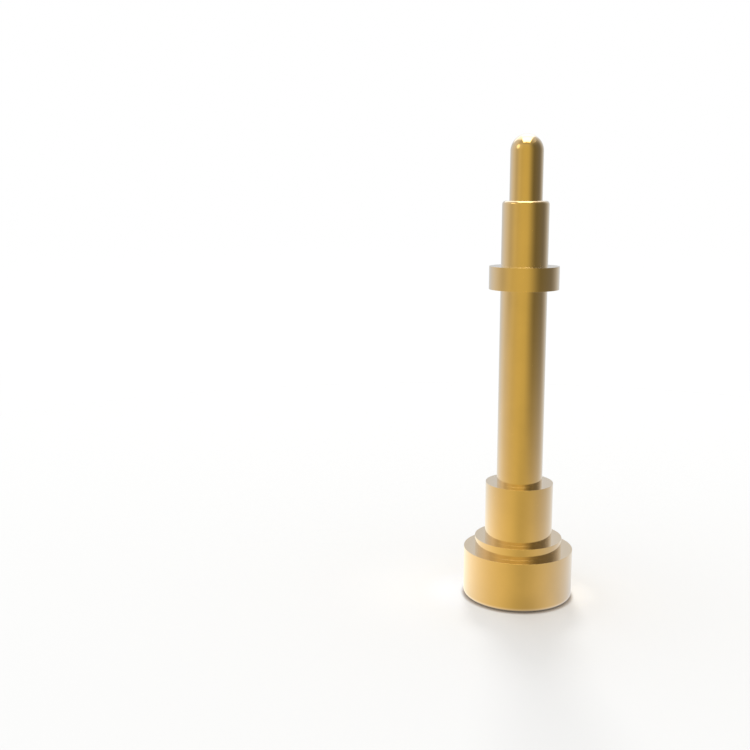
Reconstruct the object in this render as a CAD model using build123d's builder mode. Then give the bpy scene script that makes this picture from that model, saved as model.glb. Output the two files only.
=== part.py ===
from build123d import *
from math import radians, tan
import os

# A spring-loaded contact pin that stands on its wide foot.
#
# The barrel is one gold-plated brass turning: a foot, a step, a collar, a long shank, a
# stop flange and a nose, with a blind bore from the top. The rim of the nose is rolled in
# over the shoulder of the plunger, so the plunger can be pushed down but can't come out.
# A coil spring in the bore pushes it back up. The plunger's tail is cut at a slant, so the
# spring also presses it against one side of the bore, where the current passes.
#
# Millimetres. +Z is up along the axis of the pin, and the origin is the middle of the flat
# under the foot.

# Outside of the barrel, from the foot upwards
foot_diameter = 3.60
foot_height = 1.65
foot_edge_radius = 0.175
step_diameter = 2.88
step_height = 0.37
collar_diameter = 2.22
collar_height = 1.87
barrel_diameter = 1.50
shank_length = 6.41
flange_diameter = 2.25
flange_thickness = 0.74
nose_length = 2.07
edge_break = 0.02

# Bore and rolled rim of the barrel
wall_thickness = 0.15
bore_depth = 8.00
drill_point_angle = 118.0
rim_thickness = 0.24
rim_outer_radius = 0.11
rim_inner_radius = 0.04

# Plunger
plunger_reach = 2.08
shoulder_catch = 0.055
shoulder_length = 1.80
tail_slant_angle = 12.0
tail_edge_break = 0.03

# Spring, at the length that it has in the bore with the plunger up
wire_diameter = 0.16
active_turns = 10
closed_turns = 1
wire_sides = 8

# Clearances
running_clearance = 0.02
spring_clearance = 0.04
seat_gap = 0.02
closed_coil_gap = 0.01

# Levels of the barrel above the floor
foot_top = foot_height
step_top = foot_top + step_height
collar_top = step_top + collar_height
flange_bottom = collar_top + shank_length
flange_top = flange_bottom + flange_thickness
nose_top = flange_top + nose_length
bore_floor = nose_top - bore_depth
rim_underside = nose_top - rim_thickness

# Radii inside the barrel: bore, plunger's shoulder, plunger's stem, opening in the rim
bore_radius = barrel_diameter / 2 - wall_thickness
shoulder_radius = bore_radius - running_clearance
stem_radius = shoulder_radius - shoulder_catch
rim_opening_radius = stem_radius + running_clearance

# The underside of the rim and the top of the shoulder are parallel 45 degree cones
rim_cone_bottom = rim_underside - (bore_radius - rim_opening_radius)
shoulder_top = rim_underside - (shoulder_radius - rim_opening_radius) - seat_gap
stem_bottom = shoulder_top + shoulder_catch
tail_bottom = shoulder_top - shoulder_length
plunger_tip = nose_top + plunger_reach

# The spring stands on the drill point's cone and reaches the lowest point of the tail
drill_point_slope = 1 / tan(radians(drill_point_angle / 2))
spring_bottom = bore_floor - spring_clearance * drill_point_slope + seat_gap
spring_top = tail_bottom - seat_gap
coil_radius = bore_radius - spring_clearance - wire_diameter / 2

# Grinding leaves a quarter of the wire at the tip of each end coil
ground_tip = wire_diameter / 4
coil_start = spring_bottom + ground_tip - wire_diameter / 2
coil_end = spring_top - ground_tip + wire_diameter / 2
closed_pitch = wire_diameter + closed_coil_gap
open_pitch = (coil_end - coil_start - 2 * closed_turns * closed_pitch) / active_turns

# The coil from the bottom up, as pitch and number of turns
coil_stretches = [
    (closed_pitch, closed_turns),
    (open_pitch, active_turns),
    (closed_pitch, closed_turns),
]

# Two lengths closer than this are the same when an edge is looked up
same_length = 1e-5


def ring(part, radius, level):
    """The circular edge of this radius that lies nearest to this level."""
    circles = part.edges().filter_by(GeomType.CIRCLE)
    same_radius = circles.filter_by(lambda edge: abs(edge.radius - radius) < same_length)
    return same_radius.sort_by(lambda edge: abs(edge.center().Z - level))[0]


# Barrel, turned from bar
with BuildPart() as barrel:
    with BuildSketch(Plane.XZ):
        with BuildLine():
            Polyline(
                (0, 0),
                (foot_diameter / 2, 0),
                (foot_diameter / 2, foot_top),
                (step_diameter / 2, foot_top),
                (step_diameter / 2, step_top),
                (collar_diameter / 2, step_top),
                (collar_diameter / 2, collar_top),
                (barrel_diameter / 2, collar_top),
                (barrel_diameter / 2, flange_bottom),
                (flange_diameter / 2, flange_bottom),
                (flange_diameter / 2, flange_top),
                (barrel_diameter / 2, flange_top),
                (barrel_diameter / 2, nose_top),
                (0, nose_top),
                close=True,
            )
        make_face()
    revolve(axis=Axis.Z)

    # Round edge under the foot, light breaks on the other shoulders
    fillet(ring(barrel, foot_diameter / 2, 0), foot_edge_radius)
    shoulders = [
        ring(barrel, foot_diameter / 2, foot_top),
        ring(barrel, step_diameter / 2, step_top),
        ring(barrel, collar_diameter / 2, collar_top),
        ring(barrel, flange_diameter / 2, flange_bottom),
        ring(barrel, flange_diameter / 2, flange_top),
    ]
    chamfer(shoulders, edge_break)

    # Blind bore with its drill point, closed in by the rolled rim
    with BuildSketch(Plane.XZ):
        with BuildLine():
            Polyline(
                (0, bore_floor - bore_radius * drill_point_slope),
                (bore_radius, bore_floor),
                (bore_radius, rim_cone_bottom),
                (rim_opening_radius, rim_underside),
                (rim_opening_radius, nose_top),
                (0, nose_top),
                close=True,
            )
        make_face()
    revolve(axis=Axis.Z, mode=Mode.SUBTRACT)
    fillet(ring(barrel, barrel_diameter / 2, nose_top), rim_outer_radius)
    fillet(ring(barrel, rim_opening_radius, nose_top), rim_inner_radius)

# Plunger: a domed stem on the wider shoulder that the rim holds back
with BuildPart() as plunger:
    with BuildSketch(Plane.XZ):
        with BuildLine():
            Polyline(
                (0, plunger_tip),
                (0, tail_bottom),
                (shoulder_radius, tail_bottom),
                (shoulder_radius, shoulder_top),
                (stem_radius, stem_bottom),
                (stem_radius, plunger_tip - stem_radius),
            )
            RadiusArc((stem_radius, plunger_tip - stem_radius), (0, plunger_tip), -stem_radius)
        make_face()
    revolve(axis=Axis.Z)

    # Slanted tail, lowest on the -X side
    tail_plane = Plane(origin=(-shoulder_radius, 0, tail_bottom), z_dir=(0, 0, 1))
    split(bisect_by=tail_plane.rotated((0, -tail_slant_angle, 0)), keep=Keep.TOP)
    chamfer(plunger.faces().sort_by(Axis.Z)[0].edges(), tail_edge_break)

# Spring: open coils between closed end coils that are ground flat. Flats stand for the
# round of the wire, as wide across as the wire is thick, so that the coils stay light.
with BuildPart() as spring:
    level = coil_start
    turned = 0
    for pitch, turns in coil_stretches:
        phase = 360 * turned
        with BuildLine(Plane.XY.rotated((0, 0, phase))):
            Helix(pitch, pitch * turns, coil_radius, center=(0, 0, level))
        with BuildSketch(Plane.XZ.rotated((0, phase, 0))):
            with Locations((coil_radius, level)):
                RegularPolygon(
                    wire_diameter / 2,
                    wire_sides,
                    major_radius=False,
                    rotation=180 / wire_sides,
                )
        sweep(is_frenet=True)
        level += pitch * turns
        turned += turns
    split(bisect_by=Plane.XY.offset(spring_bottom), keep=Keep.TOP)
    split(bisect_by=Plane.XY.offset(spring_top), keep=Keep.BOTTOM)

os.makedirs("parts", exist_ok=True)
barrel.part.label = "barrel"
export_step(barrel.part, "parts/barrel.step")
plunger.part.label = "plunger"
export_step(plunger.part, "parts/plunger.step")
spring.part.label = "spring"
export_step(spring.part, "parts/spring.step")
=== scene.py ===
from math import acos, cos, pi, radians, sin, tan

import bmesh
import bpy
from mathutils import Matrix, Vector


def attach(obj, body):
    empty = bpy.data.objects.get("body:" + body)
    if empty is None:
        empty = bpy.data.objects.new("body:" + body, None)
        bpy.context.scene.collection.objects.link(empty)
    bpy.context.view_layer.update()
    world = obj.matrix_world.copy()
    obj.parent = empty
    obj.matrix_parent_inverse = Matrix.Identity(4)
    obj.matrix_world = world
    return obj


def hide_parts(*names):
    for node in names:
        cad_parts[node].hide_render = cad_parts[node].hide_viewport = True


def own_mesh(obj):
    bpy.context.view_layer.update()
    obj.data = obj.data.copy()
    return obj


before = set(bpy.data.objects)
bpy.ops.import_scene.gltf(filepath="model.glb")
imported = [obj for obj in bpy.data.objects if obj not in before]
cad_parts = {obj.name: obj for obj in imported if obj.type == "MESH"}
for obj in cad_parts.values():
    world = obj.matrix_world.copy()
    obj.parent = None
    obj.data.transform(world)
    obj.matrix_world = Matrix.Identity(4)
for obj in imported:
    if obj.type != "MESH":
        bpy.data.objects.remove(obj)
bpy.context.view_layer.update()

scene = bpy.context.scene

# Shapes are worked out in millimetres, in the same frame as the CAD, and scaled to metres
MM = 0.001

# Outside of the barrel
FOOT_RADIUS = 1.80
FOOT_TOP = 1.65
FOOT_EDGE = 0.175
STEP_RADIUS = 1.44
STEP_TOP = 2.02
COLLAR_RADIUS = 1.11
COLLAR_TOP = 3.89
BARREL_RADIUS = 0.75
FLANGE_RADIUS = 1.125
FLANGE_BOTTOM = 10.30
FLANGE_TOP = 11.04
NOSE_TOP = 13.11
EDGE_BREAK = 0.003
INNER_CORNER = 0.0015

# Bore and rolled rim
BORE_RADIUS = 0.60
BORE_FLOOR = 5.11
DRILL_POINT_ANGLE = 118
RIM_UNDERSIDE = 12.87
RIM_OPENING = 0.545
RIM_OUTER_EDGE = 0.11
RIM_INNER_EDGE = 0.04

# Plunger
SHOULDER_RADIUS = 0.58
STEM_RADIUS = 0.525
SHOULDER_TOP = 12.815
TAIL_BOTTOM = 11.015
TAIL_SLANT = 12
TAIL_EDGE = 0.03
PLUNGER_TIP = 15.19

# Spring
WIRE_RADIUS = 0.08
COIL_RADIUS = 0.48
SPRING_BOTTOM = 5.106
SPRING_TOP = 10.995
CLOSED_PITCH = 0.17
ACTIVE_TURNS = 10
CLOSED_TURNS = 1

# Fineness of the meshes
TURN_STEPS = 256
ARC_STEPS = 8
DOME_STEPS = 48
WIRE_SIDES = 20
COIL_STEPS = 72
SUPPORT = 0.002
SHARP_ANGLE = 35
ON_AXIS = 1e-6


def rounded(corners):
    """Outline through (radius, level, edge radius) corners, with an arc on each edge.

    Long straight stretches get a support point just inside either end, which keeps the
    smooth shading flat up to the edge.
    """
    points = []
    for i, (r, z, edge) in enumerate(corners):
        here = Vector((r, z))
        if edge == 0:
            points.append(here)
            continue
        back = (Vector(corners[i - 1][:2]) - here).normalized()
        ahead = (Vector(corners[i + 1][:2]) - here).normalized()
        half = acos(back.dot(ahead)) / 2
        reach = edge / tan(half)
        centre = here + (back + ahead).normalized() * edge / sin(half)
        start = here + back * reach - centre
        end = here + ahead * reach - centre
        sweep = start.angle(end)
        for step in range(ARC_STEPS + 1):
            share = step / ARC_STEPS
            weight_start = sin((1 - share) * sweep) / sin(sweep)
            weight_end = sin(share * sweep) / sin(sweep)
            points.append(centre + start * weight_start + end * weight_end)
    held = [points[0]]
    for a, b in zip(points, points[1:]):
        length = (b - a).length
        if length > 4 * SUPPORT:
            along = (b - a) / length * SUPPORT
            held.append(a + along)
            held.append(b - along)
        held.append(b)
    return held


def finished(name, bm):
    """Smooth-shaded object made from the bmesh, with its true edges kept sharp."""
    bmesh.ops.recalc_face_normals(bm, faces=bm.faces)
    mesh = bpy.data.meshes.new(name)
    bm.to_mesh(mesh)
    bm.free()
    mesh.shade_smooth()
    mesh.set_sharp_from_angle(angle=radians(SHARP_ANGLE))
    obj = bpy.data.objects.new(name, mesh)
    scene.collection.objects.link(obj)
    return obj


def lathe(name, outline):
    """Solid of revolution about Z from an outline that starts and ends on the axis."""
    bm = bmesh.new()
    turn = [2 * pi * i / TURN_STEPS for i in range(TURN_STEPS)]
    rings = []
    for r, z in outline:
        if r < ON_AXIS:
            rings.append([bm.verts.new((0, 0, z * MM))] * TURN_STEPS)
        else:
            around = [(r * cos(a) * MM, r * sin(a) * MM, z * MM) for a in turn]
            rings.append([bm.verts.new(point) for point in around])
    for low, high in zip(rings, rings[1:]):
        for i in range(TURN_STEPS):
            j = (i + 1) % TURN_STEPS
            corners = [low[i], low[j], high[j], high[i]]
            bm.faces.new(list(dict.fromkeys(corners)))
    return finished(name, bm)


# Materials

def new_material(name):
    material = bpy.data.materials.new(name)
    material.use_nodes = True
    tree = material.node_tree
    tree.nodes.clear()
    return material, tree


class Nodes:
    """Short calls that add nodes to a tree and join them."""

    def __init__(self, tree):
        self.tree = tree

    def add(self, kind, inputs=None, **settings):
        """New node. An input is another node's output or a constant."""
        node = self.tree.nodes.new(kind)
        for key, value in settings.items():
            setattr(node, key, value)
        for key, value in (inputs or {}).items():
            if isinstance(value, bpy.types.NodeSocket):
                self.tree.links.new(value, node.inputs[key])
            else:
                node.inputs[key].default_value = value
        return node

    def math(self, operation, a, b=0.0, c=0.0):
        inputs = {0: a, 1: b, 2: c}
        return self.add("ShaderNodeMath", inputs, operation=operation).outputs[0]

    def smooth(self, value, low, high, to_low=0.0, to_high=1.0):
        """Eases from to_low to to_high as the value goes from low to high."""
        inputs = {
            "Value": value,
            "From Min": low,
            "From Max": high,
            "To Min": to_low,
            "To Max": to_high,
        }
        node = self.add("ShaderNodeMapRange", inputs, interpolation_type="SMOOTHSTEP")
        return node.outputs["Result"]

    def peak(self, value, middle, half_width, height=1.0):
        """The height where the value is in the middle, easing to 0 at the half width."""
        off = self.math("ABSOLUTE", self.math("SUBTRACT", value, middle))
        return self.smooth(off, 0, half_width, height, 0.0)

    def mix(self, share, a, b, blend="MIX"):
        """Mix of two colours, whose sockets in the node are numbers 6 and 7."""
        inputs = {0: share, 6: a, 7: b}
        node = self.add("ShaderNodeMix", inputs, data_type="RGBA", blend_type=blend)
        return node.outputs[2]

    def noise(self, vector, scale, detail=2.0, roughness=0.5):
        inputs = {"Vector": vector, "Scale": scale, "Detail": detail, "Roughness": roughness}
        return self.add("ShaderNodeTexNoise", inputs).outputs["Fac"]

    def place(self):
        return self.add("ShaderNodeTexCoord").outputs["Object"]

    def xyz(self, vector):
        return self.add("ShaderNodeSeparateXYZ", {0: vector}).outputs

    def scaled(self, vector, scale):
        inputs = {0: vector, "Scale": scale}
        return self.add("ShaderNodeVectorMath", inputs, operation="SCALE").outputs[0]

    def length(self, vector):
        node = self.add("ShaderNodeVectorMath", {0: vector}, operation="LENGTH")
        return node.outputs["Value"]

    def dot(self, a, b):
        node = self.add("ShaderNodeVectorMath", {0: a, 1: b}, operation="DOT_PRODUCT")
        return node.outputs["Value"]

    def bearing(self, place):
        """Degrees round the pin: 0 towards the camera's side, positive on its right."""
        x, y, _ = self.xyz(place)
        return self.math("DEGREES", self.math("ARCTAN2", x, self.math("MULTIPLY", y, -1.0)))

    def see_through(self, solid, surface):
        clear = self.add("ShaderNodeBsdfTransparent").outputs[0]
        return self.add("ShaderNodeMixShader", {0: solid, 1: clear, 2: surface}).outputs[0]


# Gold from the front and at a glancing angle
GOLD = (0.79, 0.47, 0.087, 1)
WIRE_GOLD = (0.70, 0.48, 0.14, 1)
GOLD_EDGE = (1.0, 0.97, 0.90, 1)
EDGE_POWER = 1.3

# Marks on the metal: noise scales per millimetre, and how strongly each one shows
COARSE_RINGS, FINE_RINGS, GRAIN, CLOUDS = 9.0, 34.0, 60.0, 1.1
GRAIN_IN_HEIGHT = 0.25
CLOUDS_IN_ROUGHNESS, RINGS_IN_ROUGHNESS = 0.05, 0.04
TARNISH_FROM, TARNISH_TO, TARNISH = 0.35, 0.7, 0.955


def plated_metal(name, gold, roughness, mark_depth):
    """Bright plated turning: rings left by the lathe, faint tarnish and a pale edge gloss."""
    material, tree = new_material(name)
    n = Nodes(tree)
    in_mm = n.scaled(n.place(), 1 / MM)
    x, y, z = n.xyz(in_mm)
    out = n.math("SQRT", n.math("ADD", n.math("MULTIPLY", x, x), n.math("MULTIPLY", y, y)))

    # Lathe rings run round the axis, so they change with the radius and the level only
    ring_place = n.add("ShaderNodeCombineXYZ", {0: out, 1: z}).outputs[0]
    coarse = n.noise(ring_place, COARSE_RINGS, detail=1.0)
    fine = n.noise(ring_place, FINE_RINGS, detail=2.0)
    rings = n.math("ADD", n.math("MULTIPLY", coarse, 0.5), n.math("MULTIPLY", fine, 0.5))
    grain = n.noise(in_mm, GRAIN, detail=3.0, roughness=0.6)
    cloud = n.noise(in_mm, CLOUDS, detail=3.0, roughness=0.55)

    tarnished = [channel * TARNISH for channel in gold[:3]] + [1]
    face = n.mix(n.smooth(cloud, TARNISH_FROM, TARNISH_TO), gold, tarnished)
    facing = n.add("ShaderNodeLayerWeight", {"Blend": 0.5}).outputs["Facing"]
    colour = n.mix(n.math("POWER", facing, EDGE_POWER), face, GOLD_EDGE)
    low_rough = roughness - CLOUDS_IN_ROUGHNESS / 2
    worn = n.math("MULTIPLY_ADD", cloud, CLOUDS_IN_ROUGHNESS, low_rough)
    ringed = n.math("MULTIPLY", n.math("SUBTRACT", rings, 0.5), RINGS_IN_ROUGHNESS)
    height = n.math("ADD", rings, n.math("MULTIPLY", grain, GRAIN_IN_HEIGHT))
    marks = {"Height": height, "Strength": 1.0, "Distance": mark_depth * MM}
    shader = n.add("ShaderNodeBsdfPrincipled", {
        "Base Color": colour,
        "Metallic": 1.0,
        "Roughness": n.math("ADD", worn, ringed),
        "Normal": n.add("ShaderNodeBump", marks).outputs[0],
    })
    n.add("ShaderNodeOutputMaterial", {"Surface": shader.outputs[0]})
    return material


barrel_gold = plated_metal("barrel_gold", GOLD, roughness=0.10, mark_depth=0.00014)
plunger_gold = plated_metal("plunger_gold", GOLD, roughness=0.10, mark_depth=0.00006)
wire_gold = plated_metal("wire_gold", WIRE_GOLD, roughness=0.2, mark_depth=0.0004)

# Barrel: one turning with a light break on each shoulder and a trace of the tool's nose
# radius in each inner corner
drill_point = BORE_RADIUS / tan(radians(DRILL_POINT_ANGLE / 2))
rim_cone_bottom = RIM_UNDERSIDE - (BORE_RADIUS - RIM_OPENING)
barrel = lathe("barrel_turning", rounded([
    (0, 0, 0),
    (FOOT_RADIUS, 0, FOOT_EDGE),
    (FOOT_RADIUS, FOOT_TOP, EDGE_BREAK),
    (STEP_RADIUS, FOOT_TOP, INNER_CORNER),
    (STEP_RADIUS, STEP_TOP, EDGE_BREAK),
    (COLLAR_RADIUS, STEP_TOP, INNER_CORNER),
    (COLLAR_RADIUS, COLLAR_TOP, EDGE_BREAK),
    (BARREL_RADIUS, COLLAR_TOP, INNER_CORNER),
    (BARREL_RADIUS, FLANGE_BOTTOM, INNER_CORNER),
    (FLANGE_RADIUS, FLANGE_BOTTOM, EDGE_BREAK),
    (FLANGE_RADIUS, FLANGE_TOP, EDGE_BREAK),
    (BARREL_RADIUS, FLANGE_TOP, INNER_CORNER),
    (BARREL_RADIUS, NOSE_TOP, RIM_OUTER_EDGE),
    (RIM_OPENING, NOSE_TOP, RIM_INNER_EDGE),
    (RIM_OPENING, RIM_UNDERSIDE, INNER_CORNER),
    (BORE_RADIUS, rim_cone_bottom, INNER_CORNER),
    (BORE_RADIUS, BORE_FLOOR, INNER_CORNER),
    (0, BORE_FLOOR - drill_point, 0),
]))
barrel.data.materials.append(barrel_gold)
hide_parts("barrel")
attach(barrel, "barrel")

# Plunger: domed stem and wider shoulder, with the tail sheared to its slant
dome_level = PLUNGER_TIP - STEM_RADIUS
rises = [pi / 2 * i / DOME_STEPS for i in range(1, DOME_STEPS)]
dome = [Vector((STEM_RADIUS * cos(a), dome_level + STEM_RADIUS * sin(a))) for a in rises]
plunger_outline = rounded([
    (0, TAIL_BOTTOM, 0),
    (SHOULDER_RADIUS, TAIL_BOTTOM, TAIL_EDGE),
    (SHOULDER_RADIUS, SHOULDER_TOP, INNER_CORNER),
    (STEM_RADIUS, SHOULDER_TOP + SHOULDER_RADIUS - STEM_RADIUS, INNER_CORNER),
    (STEM_RADIUS, dome_level, 0),
])
plunger = lathe("plunger_turning", plunger_outline + dome + [Vector((0, PLUNGER_TIP))])
slope = tan(radians(TAIL_SLANT))
for vertex in plunger.data.vertices:
    if vertex.co.z < (TAIL_BOTTOM + TAIL_EDGE + 2 * SUPPORT) * MM:
        vertex.co.z += slope * (vertex.co.x + SHOULDER_RADIUS * MM)
plunger.data.materials.append(plunger_gold)
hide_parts("plunger")
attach(plunger, "plunger")


def coil():
    """Round wire wound with one closed turn at each end, its ends ground flat."""
    start = SPRING_BOTTOM - WIRE_RADIUS / 2
    end = SPRING_TOP + WIRE_RADIUS / 2
    open_pitch = (end - start - 2 * CLOSED_TURNS * CLOSED_PITCH) / ACTIVE_TURNS
    turns = ACTIVE_TURNS + 2 * CLOSED_TURNS
    bm = bmesh.new()
    rings = []
    for i in range(turns * COIL_STEPS + 1):
        turned = i / COIL_STEPS
        opened = min(max(turned - CLOSED_TURNS, 0), ACTIVE_TURNS)
        level = start + opened * open_pitch + (turned - opened) * CLOSED_PITCH
        around = 2 * pi * turned
        ring = []
        for k in range(WIRE_SIDES):
            a = 2 * pi * k / WIRE_SIDES
            r = COIL_RADIUS + WIRE_RADIUS * cos(a)
            z = min(max(level + WIRE_RADIUS * sin(a), SPRING_BOTTOM), SPRING_TOP)
            ring.append(bm.verts.new((r * cos(around) * MM, r * sin(around) * MM, z * MM)))
        rings.append(ring)
    for a, b in zip(rings, rings[1:]):
        for k in range(WIRE_SIDES):
            m = (k + 1) % WIRE_SIDES
            bm.faces.new((a[k], a[m], b[m], b[k]))
    bm.faces.new(rings[0])
    bm.faces.new(rings[-1])
    return finished("coil_spring", bm)


spring = coil()
spring.data.materials.append(wire_gold)
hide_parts("spring")
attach(spring, "barrel")
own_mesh(spring)

# Studio. Bearings are degrees round the pin, as Nodes.bearing gives them.
WHITE = (1, 1, 1, 1)
DISC_STEPS = 128


def stage_mesh(name, vertices, faces, material):
    mesh = bpy.data.meshes.new(name)
    mesh.from_pydata(vertices, [], faces)
    mesh.materials.append(material)
    obj = bpy.data.objects.new(name, mesh)
    scene.collection.objects.link(obj)
    return obj


def disc(name, radius, material):
    turn = [2 * pi * i / DISC_STEPS for i in range(DISC_STEPS)]
    rim = [(radius * cos(a) * MM, radius * sin(a) * MM, 0) for a in turn]
    return stage_mesh(name, rim, [list(range(DISC_STEPS))], material)


# Pale floor that fades into the white backdrop all round, with a dark painted contact shadow
# where it meets the foot
FLOOR_RADIUS = 400.0
FLOOR_DROP = 0.002
FLOOR_FADE = 24.0
FLOOR_RIM_FROM, FLOOR_RIM_TO = 200.0, 392.0
FLOOR_COLOUR = (0.93, 0.929, 0.92, 1)
FLOOR_GRAIN, FLOOR_GRAIN_STRENGTH, FLOOR_GRAIN_DEPTH = 900.0, 0.1, 0.01
# Colour and radii of the painted contact shadow round the foot
CONTACT_SHADOW_COLOUR = (0.50, 0.46, 0.42, 1)
CONTACT_FULL, CONTACT_END = 1.76, 1.93

# Painted light and shade on the floor by the foot, as bearing, half width, outer end and
# colour:
# paler painted light on both sides, where a mirror finish throws light, and deeper painted
# shade in front, where it doesn't
FLOOR_PAINTED_LIGHT_AND_SHADE = [
    (-100, 80, 7.0, (1.065, 1.065, 1.065, 1)),
    (-100, 80, 3.4, (1.015, 1.06, 1.14, 1)),
    (100, 80, 6.0, (1.045, 1.045, 1.04, 1)),
    (90, 60, 2.9, (1.17, 1.17, 1.17, 1)),
    (2, 32, 8.0, (0.94, 0.93, 0.915, 1)),
]


def fading_out(n, away):
    """1 at the pin's foot, falling to 0 at the floor's rim."""
    share = n.math("DIVIDE", away, FLOOR_FADE * MM)
    solid = n.math("DIVIDE", 1.0, n.math("ADD", n.math("MULTIPLY", share, share), 1.0))
    rim = n.smooth(away, FLOOR_RIM_FROM * MM, FLOOR_RIM_TO * MM, 1.0, 0.0)
    return n.math("MULTIPLY", solid, rim)


def floor_material():
    material, tree = new_material("floor")
    n = Nodes(tree)
    place = n.place()
    away = n.length(place)
    angle = n.bearing(place)
    # Painted contact shadow: the floor's colour darkens close to the foot
    open_floor = n.smooth(away, CONTACT_FULL * MM, CONTACT_END * MM)
    colour = n.mix(open_floor, CONTACT_SHADOW_COLOUR, FLOOR_COLOUR)
    # Painted light beside the foot and painted shade in front of it
    for middle, half_width, end, painted_tint in FLOOR_PAINTED_LIGHT_AND_SHADE:
        near = n.smooth(away, FOOT_RADIUS * MM, end * MM, 1.0, 0.0)
        share = n.math("MULTIPLY", n.peak(angle, middle, half_width), near)
        colour = n.mix(share, colour, painted_tint, "MULTIPLY")
    bump = n.add("ShaderNodeBump", {
        "Height": n.noise(place, FLOOR_GRAIN, detail=4.0),
        "Strength": FLOOR_GRAIN_STRENGTH,
        "Distance": FLOOR_GRAIN_DEPTH * MM,
    })
    matt = n.add("ShaderNodeBsdfDiffuse", {"Color": colour, "Normal": bump.outputs[0]})
    surface = n.see_through(fading_out(n, away), matt.outputs[0])
    n.add("ShaderNodeOutputMaterial", {"Surface": surface})
    return material


floor = disc("floor", FLOOR_RADIUS, floor_material())
floor.location.z = -FLOOR_DROP * MM
floor.visible_glossy = False


def only_in_metal(obj):
    """Leaves a card to the metal's reflections. Camera and floor don't see it."""
    obj.visible_camera = False
    obj.visible_diffuse = False
    obj.visible_shadow = False
    obj.visible_volume_scatter = False


def card_material(name, pattern, in_bounced_light=False):
    """Card that glows by itself. The pattern gives its colour, strength and opacity.

    The light that the metal throws on the floor comes from the white surround, not from a
    card, unless the card is in bounced light too.
    """
    material, tree = new_material(name)
    n = Nodes(tree)
    colour, strength, opacity = pattern(n, n.place())
    glow = n.add("ShaderNodeEmission", {"Color": colour, "Strength": strength})
    if not in_bounced_light:
        bounces = n.add("ShaderNodeLightPath").outputs["Diffuse Depth"]
        opacity = n.math("MULTIPLY", n.math("LESS_THAN", bounces, 0.5), opacity)
    surface = n.see_through(opacity, glow.outputs[0])
    n.add("ShaderNodeOutputMaterial", {"Surface": surface})
    material.cycles.emission_sampling = "NONE"
    return material


# Way from the plunger's tip to the small lamp on the left
LEFT_WAY = Vector((-0.893, -0.215, 0.397)).normalized()

# Grey flats all round the pin, as its metal shows them: paler in two broad bands, given as
# bearing, half width and lift, darker beside the left lamp, and overhead a little darker in
# front and much paler behind. Heights, depths and sides are shares of the flats' radius.
TENT_RADIUS = 450.0
TENT_SEGMENTS, TENT_RINGS = 96, 48
TENT_LEVEL = 0.635
TENT_BANDS = [(-18, 50, 0.10), (-120, 36, 0.07)]
DIM_MIDDLE, DIM_HALF_WIDTH, DIM_DROP = -81, 28, 0.16
DIM_BOTTOM, DIM_FULL_FROM = -0.14, -0.05
TOP_FRONT_DROP = 0.30
TOP_FRONT_HEIGHTS, TOP_FRONT_DEPTHS = (0.60, 0.85), (-0.5, 0.0)
TOP_BACK_LIFT = 1.15
TOP_BACK_HEIGHTS, TOP_BACK_DEPTHS = (0.34, 0.45), (-0.05, 0.35)
TOP_BACK_MIDDLE, TOP_BACK_FULL, TOP_BACK_END = -0.05, 0.34, 0.54
HALO_LIFT, HALO_ANGLE = 0.16, 42


def tent_pattern(n, place):
    angle = n.bearing(place)
    way = n.scaled(place, 1 / (TENT_RADIUS * MM))
    x, y, z = n.xyz(way)
    strength = TENT_LEVEL
    for middle, half_width, lift in TENT_BANDS:
        strength = n.math("ADD", n.peak(angle, middle, half_width, lift), strength)
    dim = n.math("MULTIPLY", n.peak(angle, DIM_MIDDLE, DIM_HALF_WIDTH, DIM_DROP),
                 n.smooth(z, DIM_BOTTOM, DIM_FULL_FROM))
    strength = n.math("SUBTRACT", strength, dim)
    front = n.math("MULTIPLY", n.smooth(z, *TOP_FRONT_HEIGHTS),
                   n.smooth(y, *TOP_FRONT_DEPTHS, TOP_FRONT_DROP, 0.0))
    back = n.math("MULTIPLY", n.smooth(z, *TOP_BACK_HEIGHTS),
                  n.smooth(y, *TOP_BACK_DEPTHS, 0.0, TOP_BACK_LIFT))
    aside = n.math("ABSOLUTE", n.math("SUBTRACT", x, TOP_BACK_MIDDLE))
    back = n.math("MULTIPLY", back, n.smooth(aside, TOP_BACK_FULL, TOP_BACK_END, 1.0, 0.0))
    change = n.math("ADD", n.math("SUBTRACT", back, front), 1.0)
    halo_start = cos(radians(HALO_ANGLE))
    halo = n.smooth(n.dot(way, LEFT_WAY), halo_start, 1.0, 0.0, HALO_LIFT)
    return WHITE, n.math("ADD", n.math("MULTIPLY", strength, change), halo), 1.0


tent = stage_mesh("grey_flats", [], [], card_material("grey_flats", tent_pattern))
ball = bmesh.new()
bmesh.ops.create_uvsphere(ball, u_segments=TENT_SEGMENTS, v_segments=TENT_RINGS,
                          radius=TENT_RADIUS * MM)
ball.to_mesh(tent.data)
ball.free()
only_in_metal(tent)

# Dark flag on the camera's right, with soft edges: it gives the metal its dark side
FLAG_RADIUS = 300.0
FLAG_START, FLAG_FULL_FROM, FLAG_FULL_TO, FLAG_END = -1, 49, 84, 152
FLAG_BOTTOM, FLAG_FADES_FROM, FLAG_TOP = -200.0, 160.0, 620.0
FLAG_LEVEL = 0.188
FLAG_STEPS = 48


def flag_pattern(n, place):
    angle = n.bearing(place)
    near = n.smooth(angle, FLAG_START, FLAG_FULL_FROM)
    far = n.smooth(angle, FLAG_FULL_TO, FLAG_END, 1.0, 0.0)
    low = n.smooth(n.xyz(place)[2], FLAG_FADES_FROM * MM, FLAG_TOP * MM, 1.0, 0.0)
    return WHITE, FLAG_LEVEL, n.math("MULTIPLY", n.math("MULTIPLY", near, far), low)


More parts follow.
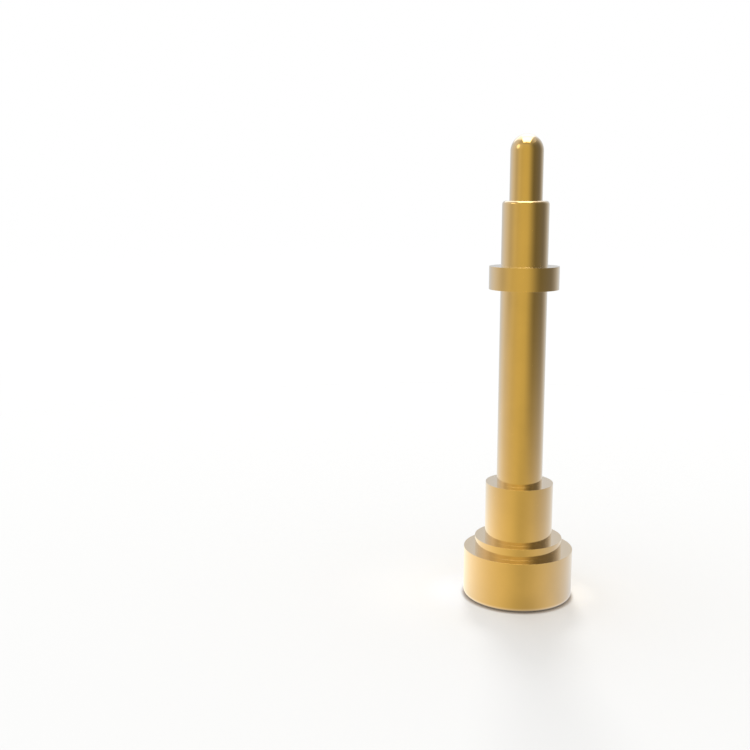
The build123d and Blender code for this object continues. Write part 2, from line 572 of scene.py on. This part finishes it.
flag_step = (FLAG_END - FLAG_START) / FLAG_STEPS
flag_bearings = [radians(FLAG_START + flag_step * i) for i in range(FLAG_STEPS + 1)]
flag = stage_mesh(
    "dark_flag",
    [(FLAG_RADIUS * sin(a) * MM, -FLAG_RADIUS * cos(a) * MM, z * MM)
     for z in (FLAG_BOTTOM, FLAG_TOP) for a in flag_bearings],
    [(i, i + 1, i + FLAG_STEPS + 2, i + FLAG_STEPS + 1) for i in range(FLAG_STEPS)],
    card_material("dark_flag", flag_pattern),
)
only_in_metal(flag)

# What the metal shows of the floor: a glowing card with the lit floor's light and shade
# painted in, painted light bright and warm on the left, pale on the right, with a narrow
# painted shadow in front.
# Round the foot come painted shade in the gap under its edge, a painted pale rim and a
# slightly darker painted ring, each given by its distances from the axis.
APRON_DROP = 0.001
APRON_PLAIN = (0.76, 0.75, 0.76, 1)
APRON_BRIGHT = (1.17, 1.08, 0.88, 1)
APRON_BRIGHT_WAY, APRON_BRIGHT_POWER = -130, 1.5
APRON_FRONT_SHADE, APRON_FRONT_POWER = 0.20, 12.0
APRON_SIDE_FROM, APRON_SIDE_TO, APRON_SIDE_LEVEL = 32, 60, 0.94
APRON_NEAR, APRON_FAR, APRON_FAR_SHARE = 4.0, 16.0, 0.5
GAP_INSIDE, GAP_OUTSIDE = 1.70, 1.84
GAP_LEVEL = 0.20
RIM_LEVEL, RIM_END = 1.10, 2.10
NEAR_LEVEL, NEAR_SHADE, NEAR_FROM, NEAR_TO = 0.98, 1.35, 2.4, 4.0


def apron_pattern(n, place):
    degrees = n.bearing(place)
    angle = n.math("RADIANS", degrees)
    away = n.length(place)
    # Painted shadow of the pin in front, deeper close to the foot
    front = n.math("MAXIMUM", n.math("COSINE", angle), 0.0)
    shade = n.math("MULTIPLY", n.math("POWER", front, APRON_FRONT_POWER), APRON_FRONT_SHADE)
    deeper = n.smooth(away, NEAR_FROM * MM, NEAR_TO * MM, NEAR_SHADE, 1.0)
    side = n.smooth(degrees, APRON_SIDE_FROM, APRON_SIDE_TO, 1.0, APRON_SIDE_LEVEL)
    strength = n.math("SUBTRACT", side, n.math("MULTIPLY", shade, deeper))
    # Painted shade in the gap under the foot's edge, a painted pale rim, then a painted
    # darker ring
    for start, end, low in [
        (GAP_INSIDE, GAP_OUTSIDE, GAP_LEVEL / RIM_LEVEL),
        (GAP_OUTSIDE, RIM_END, RIM_LEVEL / NEAR_LEVEL),
        (NEAR_FROM, NEAR_TO, NEAR_LEVEL),
    ]:
        ring = n.smooth(away, start * MM, end * MM, low, 1.0)
        strength = n.math("MULTIPLY", strength, ring)
    # Painted light on the left, bright and warm, fading with distance
    turned = n.math("SUBTRACT", angle, radians(APRON_BRIGHT_WAY))
    bright = n.math("ADD", n.math("MULTIPLY", n.math("COSINE", turned), 0.5), 0.5)
    fade = n.smooth(away, APRON_NEAR * MM, APRON_FAR * MM, 1.0, APRON_FAR_SHARE)
    share = n.math("MULTIPLY", n.math("POWER", bright, APRON_BRIGHT_POWER), fade)
    return n.mix(share, APRON_PLAIN, APRON_BRIGHT), strength, fading_out(n, away)


apron_card = card_material("floor_in_metal", apron_pattern, in_bounced_light=True)
apron = disc("floor_in_metal", FLOOR_RADIUS, apron_card)
apron.location.z = -APRON_DROP * MM
only_in_metal(apron)

# Softbox overhead, turned a little about the vertical. The metal sees its face, which is
# brightest along the front. Where it softens and dims is given in shares of its half sizes.
BOX_HEIGHT = 215.0
BOX_TURN = -12
BOX_MIDDLE = Vector((-5, 65))
BOX_HALF_WIDTH, BOX_HALF_LENGTH = 95.0, 198.0
BOX_SOFT_ACROSS, BOX_SOFT_ALONG = 0.70, 0.88
BOX_FRONT_LEVEL, BOX_BACK_LEVEL = 4.5, 2.0
BOX_DIMS_FROM, BOX_DIMS_TO = -0.6, 0.2
box_x, box_y = BOX_HALF_WIDTH * MM, BOX_HALF_LENGTH * MM


def box_pattern(n, place):
    x, y, _ = n.xyz(place)
    across = n.math("DIVIDE", n.math("ABSOLUTE", x), box_x)
    along = n.math("DIVIDE", n.math("ABSOLUTE", y), box_y)
    solid = n.math("MULTIPLY", n.smooth(across, BOX_SOFT_ACROSS, 1.0, 1.0, 0.0),
                   n.smooth(along, BOX_SOFT_ALONG, 1.0, 1.0, 0.0))
    level = n.smooth(y, BOX_DIMS_FROM * box_y, BOX_DIMS_TO * box_y,
                     BOX_FRONT_LEVEL, BOX_BACK_LEVEL)
    return WHITE, level, solid


box_face = stage_mesh(
    "softbox_face",
    [(-box_x, -box_y, 0), (box_x, -box_y, 0), (box_x, box_y, 0), (-box_x, box_y, 0)],
    [(0, 1, 2, 3)],
    card_material("softbox_face", box_pattern),
)
box_place = Matrix.Rotation(radians(BOX_TURN), 2) @ BOX_MIDDLE
box_face.location = Vector((box_place.x, box_place.y, BOX_HEIGHT)) * MM
box_face.rotation_euler.z = radians(BOX_TURN)
only_in_metal(box_face)

# Small lamp close by on the left, seen in the dome and on the nose's rim
LEFT_LEVEL = 1.9
LEFT_DISTANCE = 24.0
LEFT_RADIUS, LEFT_FULL_RADIUS = 7.6, 1.9


def left_pattern(n, place):
    glow = n.smooth(n.length(place), LEFT_FULL_RADIUS * MM, LEFT_RADIUS * MM, 1.0, 0.0)
    return WHITE, LEFT_LEVEL, glow


left = disc("left_lamp_face", LEFT_RADIUS, card_material("left_lamp_face", left_pattern))
left.location = (Vector((0, 0, PLUNGER_TIP)) + LEFT_WAY * LEFT_DISTANCE) * MM
left.rotation_euler = LEFT_WAY.to_track_quat("Z", "Y").to_euler()
only_in_metal(left)

# Key light for the floor and the shadow in front of the pin, from behind and above. Its
# power is the brightness of its face times pi times its area.
KEY_LEVEL = 14.0
KEY_PLACE = Vector((8, 235, 195))
KEY_SIZE = 80.0
lamp = bpy.data.lights.new("key", "AREA")
lamp.shape = "DISK"
lamp.size = KEY_SIZE * MM
lamp.energy = KEY_LEVEL * pi * pi * (lamp.size / 2) ** 2
key = bpy.data.objects.new("key", lamp)
key.location = KEY_PLACE * MM
key.rotation_euler = KEY_PLACE.to_track_quat("Z", "Y").to_euler()
key.visible_glossy = False
key.visible_camera = False
scene.collection.objects.link(key)

# White backdrop for camera, mirror and see-through rays, and soft light for the floor that
# leans to the camera's left and front
AMBIENT = 0.90
AMBIENT_LEAN = (-0.25, -0.10, 0)
world = bpy.data.worlds.new("studio")
world.use_nodes = True
world.node_tree.nodes.clear()
w = Nodes(world.node_tree)
path = w.add("ShaderNodeLightPath")
shown = w.math("MAXIMUM", path.outputs["Is Camera Ray"], path.outputs["Is Glossy Ray"])
shown = w.math("MAXIMUM", shown, path.outputs["Is Transmission Ray"])
lean = w.dot(w.add("ShaderNodeTexCoord").outputs["Generated"], AMBIENT_LEAN)
soft = w.math("MULTIPLY", w.math("ADD", lean, 1.0), AMBIENT)
level = w.add("ShaderNodeMapRange", {"Value": shown, "To Min": soft, "To Max": 1.0})
backdrop = w.add("ShaderNodeBackground", {"Color": WHITE, "Strength": level.outputs[0]})
w.add("ShaderNodeOutputWorld", {"Surface": backdrop.outputs[0]})
world.cycles.sampling_method = "NONE"
scene.world = world
scene.view_settings.view_transform = "Standard"

# Camera at the photograph's place, looking a little down
CAMERA_PLACE = Vector((-4.8006, -33.582, 13.202))
CAMERA_TILT = 9.654
camera_data = bpy.data.cameras.new("camera")
camera_data.lens = 50
camera_data.sensor_width = 36
camera_data.clip_start = 0.001
camera_data.clip_end = 10
camera = bpy.data.objects.new("camera", camera_data)
camera.location = CAMERA_PLACE * MM
camera.rotation_euler.x = radians(90 - CAMERA_TILT)
scene.collection.objects.link(camera)
scene.camera = camera
